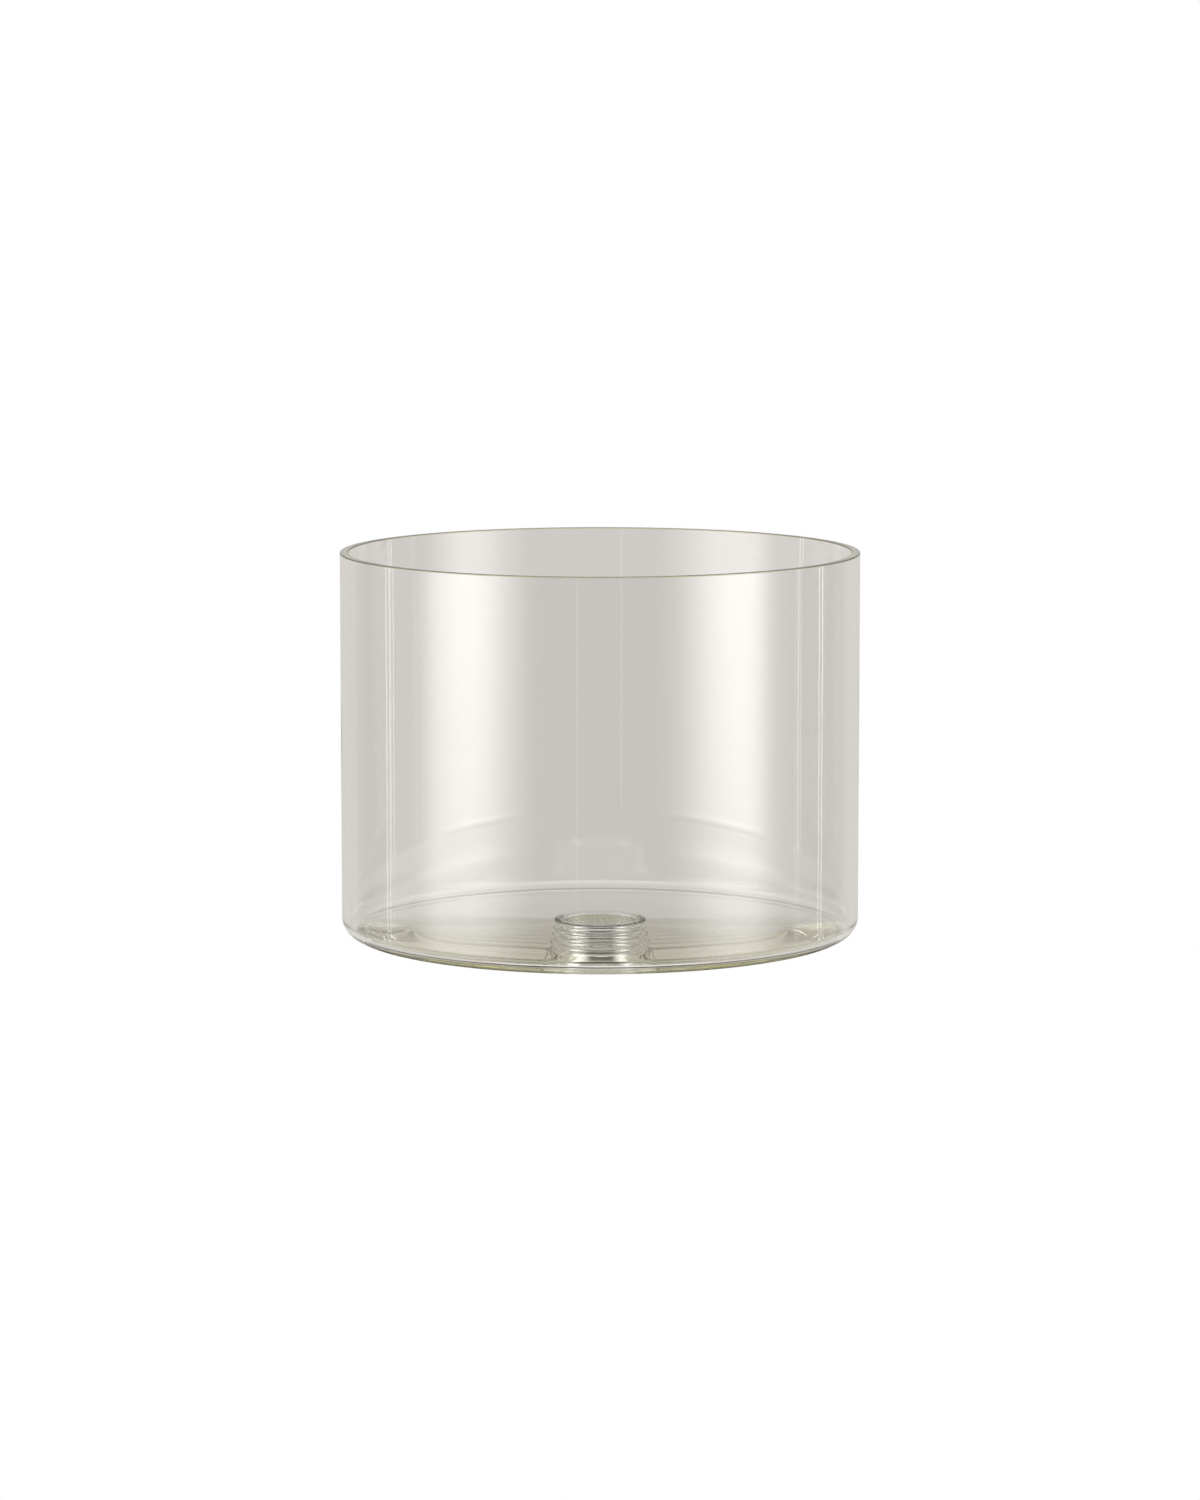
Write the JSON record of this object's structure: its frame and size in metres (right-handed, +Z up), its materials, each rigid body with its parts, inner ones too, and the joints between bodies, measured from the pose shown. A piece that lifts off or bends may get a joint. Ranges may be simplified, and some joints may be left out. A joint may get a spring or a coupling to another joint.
{
  "type": "glass cylinder vase",
  "caption": "Wide clear glass cylinder, open at the top, with a rounded heel and a flanged glass collar lining a round hole in its thick floor.",
  "frame": {"origin": "on the axis of the cylinder, in the plane of the flat underside that it stands on", "axes": "+Z up along the axis of the cylinder, towards the open rim; +X and +Y are any two square directions, because the object is round"},
  "size_m": [0.2, 0.2, 0.1515],
  "materials": {
    "clear_glass": "clear polished soda-lime glass with a faint olive tint in the thickness",
    "ground_glass": "clear glass with a finely ground, speckled bore and a polished top ring"
  },
  "bodies": {
    "root": {"glass_vessel": "clear_glass", "neck_collar": "ground_glass"}
  },
  "joints": []
}
